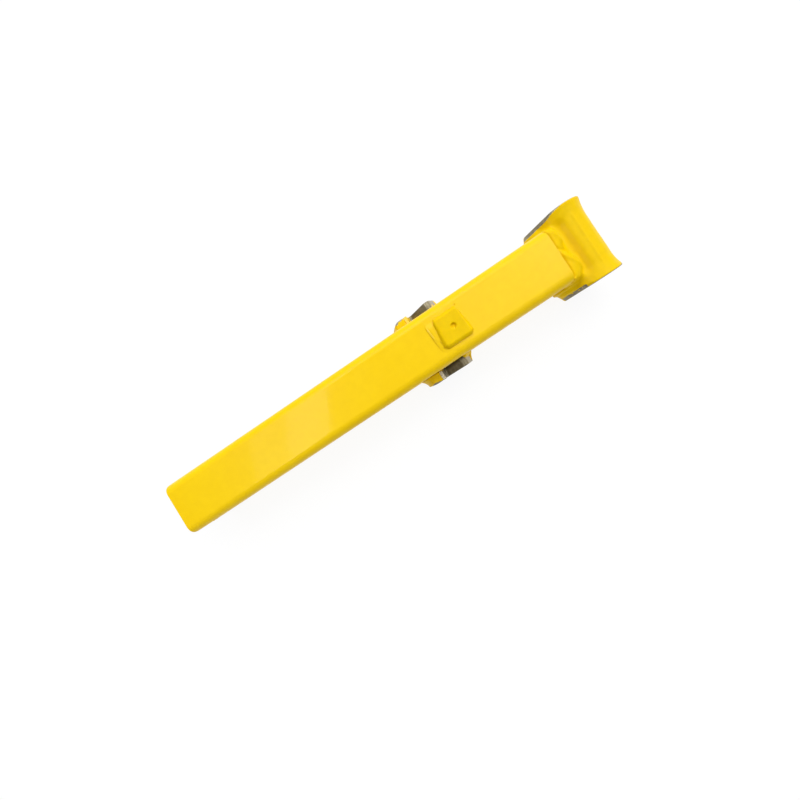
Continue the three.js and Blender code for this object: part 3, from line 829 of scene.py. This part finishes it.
def beam_welds(index, side, sign):
    """On one side wall, the run at the beam's end and the two along the seam."""
    out = (0, sign, 0)
    heights = np.linspace(BACK_Z + 20, FRONT_Z - 24, 12)
    end_run = [(BEAM_END_X + 1, sign * (SIDE_Y - 0.8), z) for z in heights]
    bead(f"weld_head_{side}", end_run, 4.2, 9 + index, out=out, squash=0.7)
    for part, start, end in (
        ("tail", TAIL_X + 12, SADDLE_X - SADDLE_GAP),
        ("head", SADDLE_X + SADDLE_GAP, BEAM_END_X - 4),
    ):
        run = [(x, sign * (SIDE_Y - 0.3), SEAM_Z) for x in np.linspace(start, end, 8)]
        name = f"weld_seam_{part}_{side}"
        bead(name, run, 4.0, 13 + index, out=out, squash=0.22, pitch=3.5)


for index, (side, sign) in enumerate(SIDES):
    saddle_welds(index, side, sign)
    beam_welds(index, side, sign)
back_run = [(BEAM_END_X + 1, y, BACK_Z + 1.2) for y in np.linspace(-48, 48, 9)]
bead("weld_head_back", back_run, 4.0, 17, squash=0.8)
add_spatter()

# ---------- Floor and light ----------

FLOOR_HALF = 80.0
FLOOR_DROP = 0.0005  # the floor lies this far below the part

# The way to the bright side of the sky, and the sky's strength along it and straight up:
# the cosines between which it changes, and the strengths at those two.
BRIGHT_SIDE = (0.30, 0.32, 0.90)
TOWARDS_BRIGHT = (0.50, 0.90, 0.38, 2.65)
TOWARDS_TOP = (0.85, 0.92, 1.0, 0.22)
BACKDROP = 0.9


def pale_floor():
    half = FLOOR_HALF
    corners = [(-half, -half, 0), (half, -half, 0), (half, half, 0), (-half, half, 0)]
    mesh = bpy.data.meshes.new("floor")
    mesh.from_pydata(corners, [], [(0, 1, 2, 3)])
    mesh.materials.append(floor_material())
    floor = bpy.data.objects.new("floor", mesh)
    floor.location.z = cad_box[0].z - FLOOR_DROP
    bpy.context.scene.collection.objects.link(floor)


def studio_sky():
    """A sky that is bright high up on the +X +Y side, dim at the horizon and dark straight
    overhead. The camera sees a plain pale backdrop instead of it."""
    world = bpy.data.worlds.new("studio")
    world.use_nodes = True
    sky = world.node_tree
    place = sky.nodes.new("ShaderNodeTexCoord")
    strength = sky.nodes.new("ShaderNodeMath")
    strength.operation = "MULTIPLY"
    bands = ((BRIGHT_SIDE, TOWARDS_BRIGHT), ((0, 0, 1), TOWARDS_TOP))
    for index, (axis, settings) in enumerate(bands):
        towards = sky.nodes.new("ShaderNodeVectorMath")
        towards.operation = "DOT_PRODUCT"
        towards.inputs[1].default_value = axis
        band = sky.nodes.new("ShaderNodeMapRange")
        band.interpolation_type = "SMOOTHSTEP"
        for socket, setting in zip(("From Min", "From Max", "To Min", "To Max"), settings):
            band.inputs[socket].default_value = setting
        sky.links.new(place.outputs["Generated"], towards.inputs[0])
        sky.links.new(towards.outputs["Value"], band.inputs["Value"])
        sky.links.new(band.outputs[0], strength.inputs[index])
    camera_ray = sky.nodes.new("ShaderNodeLightPath").outputs["Is Camera Ray"]
    seen = sky.nodes.new("ShaderNodeMix")
    seen.data_type = "FLOAT"
    seen.inputs[3].default_value = BACKDROP
    sky.links.new(camera_ray, seen.inputs[0])
    sky.links.new(strength.outputs[0], seen.inputs[2])
    background = sky.nodes["Background"]
    sky.links.new(seen.outputs[0], background.inputs["Strength"])
    background.inputs["Color"].default_value = rgb(1.0, 1.0, 1.0)
    bpy.context.scene.world = world


def softbox(name, place, aim, size, power, diffuse=True):
    data = bpy.data.lights.new(name, "AREA")
    data.shape = "RECTANGLE"
    data.size, data.size_y = size
    data.energy = power
    light = bpy.data.objects.new(name, data)
    light.location = place
    light.visible_diffuse = diffuse
    light.rotation_mode = "QUATERNION"
    light.rotation_quaternion = (Vector(aim) - Vector(place)).to_track_quat("-Z", "Y")
    bpy.context.scene.collection.objects.link(light)


pale_floor()
studio_sky()
bpy.context.scene.view_settings.view_transform = "Standard"

HEAD_HALF = (0.2, 0, 0.16)
TAIL_HALF = (-0.2, 0, 0.16)
softbox("key_softbox", (0.58, 1.32, 2.08), (0.1, 0, 0.16), (1.2, 1.2), 10)
softbox("head_side_softbox", (1.05, 0.30, 1.75), HEAD_HALF, (0.7, 1.4), 8, diffuse=False)
softbox("tail_side_softbox", (-0.71, 0.30, 1.75), TAIL_HALF, (1.6, 0.30), 5.5, diffuse=False)
softbox("tail_fade_softbox", (-0.86, 0.30, 1.74), TAIL_HALF, (1.6, 0.60), 8, diffuse=False)

# ---------- Camera ----------

LENS_MM = 14.4
SENSOR_MM = 36.0
CAMERA_FROM_PIN = (-0.5244, -0.0759)
CAMERA_ABOVE_FRONT = 0.7678
ROLL = math.radians(33.52)
LEAN = math.radians(-3.78)


def photo_camera():
    """A close camera that looks down on the front plate, leaning a little along the beam."""
    data = bpy.data.cameras.new("camera")
    data.lens = LENS_MM
    data.sensor_width = SENSOR_MM
    camera = bpy.data.objects.new("camera", data)
    bpy.context.scene.collection.objects.link(camera)
    looks = Matrix.Rotation(ROLL, 3, "Z") @ Matrix.Rotation(LEAN, 3, "Y")
    camera.matrix_world = looks.transposed().to_4x4()
    camera.location = (
        PIN_X * MM + CAMERA_FROM_PIN[0],
        CAMERA_FROM_PIN[1],
        FRONT_Z * MM + CAMERA_ABOVE_FRONT,
    )
    bpy.context.scene.camera = camera


photo_camera()
